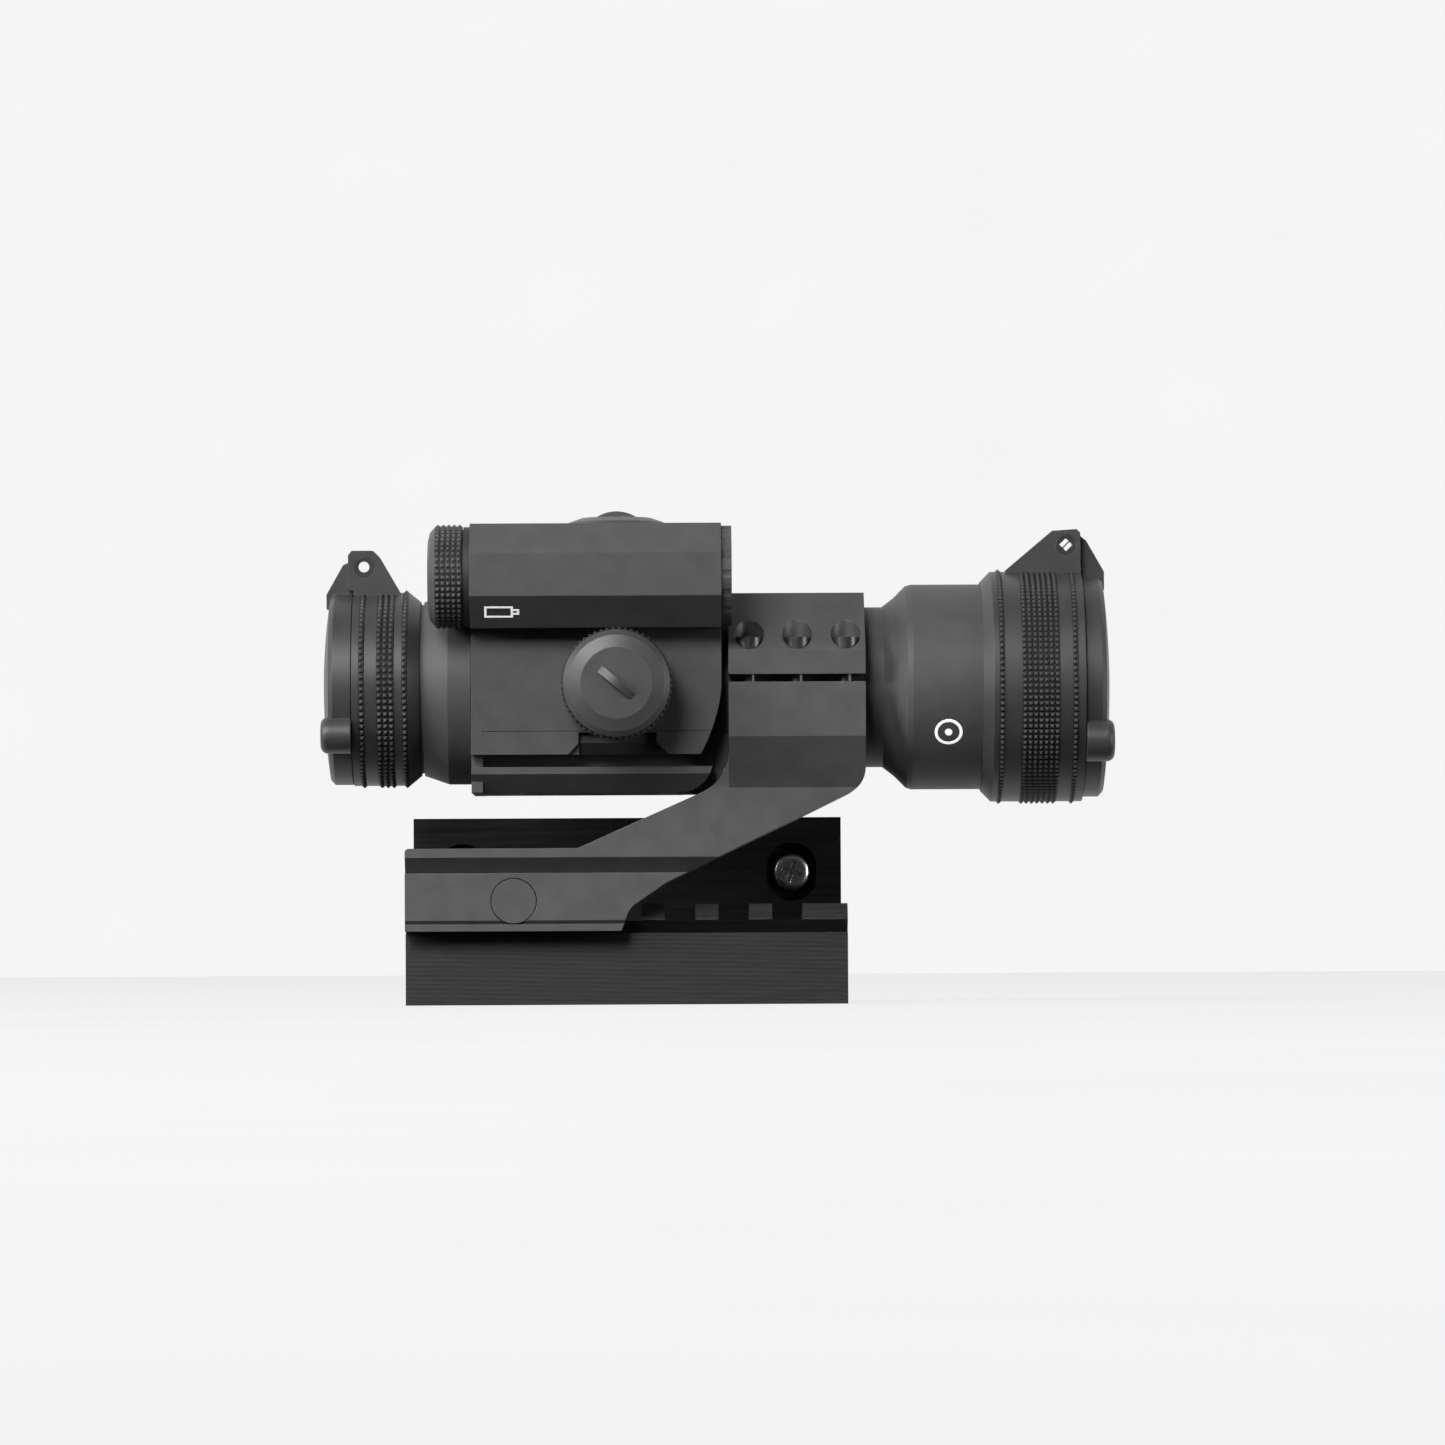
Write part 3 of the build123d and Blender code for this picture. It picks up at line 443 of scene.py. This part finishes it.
def objective_knurls():
    """Seven close rows of pyramids between two single rows on the front flip cap."""
    pitch, teeth = 1.0, 124
    low, high = low_mm("objective_cap_body"), high_mm("objective_cap_body")
    radius = -low.z
    rows = {"objective_knurl_band": [low.x + 7.1 + pitch * k for k in range(7)],
            "objective_knurl_rear_row": [low.x + 2.9],
            "objective_knurl_front_row": [high.x - 2.4]}
    flip_cap_knurls(rows, pitch, teeth, radius, knurled_plastic("objective_knurl", radius), "objective_cap")


def rear_knurls():
    """Three rows of pyramids between two single rows on the rear flip cap."""
    pitch, teeth = 1.1, 96
    radius = -low_mm("rear_cap_body").z
    front = high_mm("rear_cap_body").x
    rows = {"rear_knurl_band": [front - 8.0 + pitch * k for k in range(3)],
            "rear_knurl_front_row": [front - 3.3],
            "rear_knurl_rear_row": [front - 11.3]}
    flip_cap_knurls(rows, pitch, teeth, radius, knurled_plastic("rear_knurl", radius), "rear_cap")


def battery_cap_knurl():
    """Five rows of coarse pyramids round the battery cap."""
    rows, pitch, teeth, height = 5, 1.0, 52, 0.40
    centre = middle("battery_cap")
    low, high = low_mm("battery_cap"), high_mm("battery_cap")
    radius = (high.z - low.z) / 2
    starts = [high.x - (rows - k) * pitch for k in range(rows)]
    # Painted shade between the knurl points.
    look = turned("battery_knurl", (centre, "YZ", radius - SINK, radius + 0.55 * height))
    pyramid_rows("battery_cap_knurl", along("x", centre), starts, pitch, teeth, radius - SINK, height, look,
                 "battery_screw_cap")


def turret_ribs():
    """Ribbed sides of the two turret caps, above their plain lower rims."""
    count, rim_step, foot, top, height = 56, 0.3, 1.2, 10.0, 0.42
    radius = high_mm("windage_cap").x - middle("windage_cap").x - rim_step - SINK
    places = {"windage": ("-y", "XZ", -high_mm("windage_cap").y),
              "elevation": ("z", "XY", low_mm("elevation_cap").z)}
    for end, (axis, plane, base) in places.items():
        centre = middle(end + "_cap")
        # Painted shade between the ribs.
        look = turned(end + "_ribs", (centre, plane, radius + 0.05, radius + 0.8 * height))
        flutes(end + "_cap_ribs", along(axis, centre), base + foot, base + top, count, radius, height, look,
               end + "_screw_cap")


def battery_mark():
    """White outline of a battery on the lower front facet of the battery tube."""
    axis_to_facet, seal_to_mark = 9.65, 3.9
    length, tall, line = 5.3, 2.75, 0.42
    knob, knob_tall = 1.15, 1.35
    cell = middle("battery_cap_seal")
    normal = Vector((0, -1, -1)).normalized()
    up = Vector((0, -1, 1)).normalized()
    facet = Vector((0, cell.y, cell.z)) + normal * axis_to_facet
    rear = low_mm("battery_cap_seal").x + seal_to_mark

    def put(a, b, c):
        spot = facet + Vector((rear + a, 0, 0)) + up * b + normal * (c - SINK)
        return at(*spot)

    bars = [(0, -tall / 2, length, -tall / 2 + line), (0, tall / 2 - line, length, tall / 2),
            (0, -tall / 2 + line, line, tall / 2 - line),
            (length - line, -tall / 2 + line, length, tall / 2 - line),
            (length, -knob_tall / 2, length + knob, -knob_tall / 2 + line),
            (length, knob_tall / 2 - line, length + knob, knob_tall / 2),
            (length + knob - line, -knob_tall / 2 + line, length + knob, knob_tall / 2 - line)]
    made = [plate_along(f"battery_mark_{k}", box_outline(*bar), put, FILM, PAINT, "sight")
            for k, bar in enumerate(bars)]
    joined("battery_mark", made)


def bell_mark():
    """Small generic ring-and-dot mark on the near side of the bell."""
    bell_radius, rim_to_mark, mark_drop = 19.2, 18.6, 9.3
    outer, inner, dot_radius = 2.6, 2.05, 0.7
    ring_steps, dot_steps = 48, 24
    centre_x = BELL_RIM - rim_to_mark

    def put(a, b, c):
        angle = (b - mark_drop) / bell_radius
        r = bell_radius - SINK + c
        return at(centre_x + a, -r * cos(angle), r * sin(angle))

    rims = ((outer, 0), (outer, FILM), (inner, FILM), (inner, 0))
    points = [put(a, b, lift) for r, lift in rims for a, b in circle(r, ring_steps)]
    faces = []
    for i in range(len(rims)):
        for k in range(ring_steps):
            m, n = (k + 1) % ring_steps, (i + 1) % len(rims)
            faces.append((i * ring_steps + k, i * ring_steps + m, n * ring_steps + m, n * ring_steps + k))
    ring = piece("bell_mark_ring", points, faces, PAINT, "sight")
    dot = plate_along("bell_mark_dot", circle(dot_radius, dot_steps), put, FILM, PAINT, "sight")
    joined("bell_mark", [ring, dot])


def button_marks():
    """Plus and minus on the two brightness buttons."""
    arm, half = 1.5, 0.24
    for node, body in (("button_brighter", "brighter_button"), ("button_dimmer", "dimmer_button")):
        spot, top = middle(node), high_mm(node).y

        def put(a, b, c):
            return at(spot.x + a, top - SINK + c, spot.z + b)

        bars = [plate_along(node + "_bar", box_outline(-arm, -half, arm, half), put, FILM, PAINT, body)]
        if node == "button_brighter":
            for k, (b0, b1) in enumerate(((half, arm), (-arm, -half))):
                bars.append(plate_along(f"{node}_stem_{k}", box_outline(-half, b0, half, b1), put, FILM,
                                        PAINT, body))
        joined(node + "_mark", bars)


# ---- stage, light and camera ----

def paper(name, glow):
    """Plain pale card that shows only soft shadows, lifted to a near white by light of its own."""
    n = Nodes(name)
    tone = n.noise(60, 3.0)
    n.link(n.blend(tone, grey(0.05), grey(0.06)), n.shader.inputs["Base Color"])
    n.link(n.blend(tone, grey(0.97), grey(1.0)), n.shader.inputs["Emission Color"])
    n.shader.inputs["Emission Strength"].default_value = glow
    n.shader.inputs["Roughness"].default_value = 0.9
    n.shader.inputs["Specular IOR Level"].default_value = 0.0
    return n.material


def stage():
    """Pale floor under the bracket and pale wall far behind it, neither reflected in the object."""
    reach, back, tall = 9000, 1900, 6000
    floor_glow, wall_glow = 0.81, 0.90
    ground = low_mm("rail_bracket").z
    floor = plane_piece("floor", [(-reach, -reach), (reach, -reach), (reach, back), (-reach, back)],
                        lambda a, b: at(a, b, ground), paper("pale_floor", floor_glow))
    wall = plane_piece("backdrop", [(-reach, ground), (reach, ground), (reach, tall), (-reach, tall)],
                       lambda a, b: at(a, back, b), paper("pale_wall", wall_glow))
    for thing in (floor, wall):
        thing.visible_glossy = False
        thing.visible_diffuse = False
        thing.visible_shadow = False


def plane_piece(name, corners, put, material):
    """One flat stage surface."""
    mesh = bpy.data.meshes.new(name)
    mesh.from_pydata([tuple(put(a, b)) for a, b in corners], [], [(0, 1, 2, 3)])
    mesh.materials.append(material)
    made = bpy.data.objects.new(name, mesh)
    bpy.context.scene.collection.objects.link(made)
    return made


def area_light(name, place, size, power):
    """Soft square light, in millimetres about the optical axis, aimed at the middle of the sight."""
    data = bpy.data.lights.new(name, "AREA")
    data.size = size * MM
    data.energy = power
    lamp = bpy.data.objects.new(name, data)
    bpy.context.scene.collection.objects.link(lamp)
    lamp.location = at(*place)
    lamp.rotation_euler = (ORIGIN - lamp.location).to_track_quat("-Z", "Y").to_euler()


def lights():
    """Soft key and fills from the front, and a surround that is dark there and white behind the object."""
    dark, white, white_from = 0.02, 0.95, 0.35
    area_light("key", (-520, -1290, 900), 700, 28)
    area_light("left_fill", (-1230, -600, 480), 500, 21)
    area_light("right_fill", (1200, -480, 110), 500, 7)
    world = bpy.data.worlds.new("studio")
    bpy.context.scene.world = world
    world.use_nodes = True
    tree = world.node_tree
    place = tree.nodes.new("ShaderNodeTexCoord")
    split = tree.nodes.new("ShaderNodeSeparateXYZ")
    tree.links.new(place.outputs["Generated"], split.inputs[0])
    ramp = tree.nodes.new("ShaderNodeMapRange")
    for name, value in (("From Min", 0.0), ("From Max", white_from), ("To Min", dark), ("To Max", white)):
        ramp.inputs[name].default_value = value
    tree.links.new(split.outputs["Y"], ramp.inputs["Value"])
    tree.nodes["Background"].inputs["Color"].default_value = grey(1.0)
    tree.links.new(ramp.outputs[0], tree.nodes["Background"].inputs["Strength"])


def camera():
    """Long lens, a little below the optical axis, turned slightly towards the object's middle."""
    lens, roll_degrees = 199.4, -0.27
    data = bpy.data.cameras.new("camera")
    data.lens = lens
    view = bpy.data.objects.new("camera", data)
    bpy.context.scene.collection.objects.link(view)
    place = at(0, -1500, -49.25)
    target = at(13.63, 0, -6.49)
    level = (target - place).to_track_quat("-Z", "Y").to_matrix().to_4x4()
    roll = Matrix.Rotation(radians(roll_degrees), 4, "Z")
    view.matrix_world = Matrix.Translation(place) @ level @ roll
    data.clip_start = 0.01
    data.clip_end = 100
    bpy.context.scene.camera = view


dress_nodes()
objective_knurls()
rear_knurls()
battery_cap_knurl()
turret_ribs()
battery_mark()
bell_mark()
button_marks()
stage()
lights()
camera()
bpy.context.scene.view_settings.view_transform = "Standard"
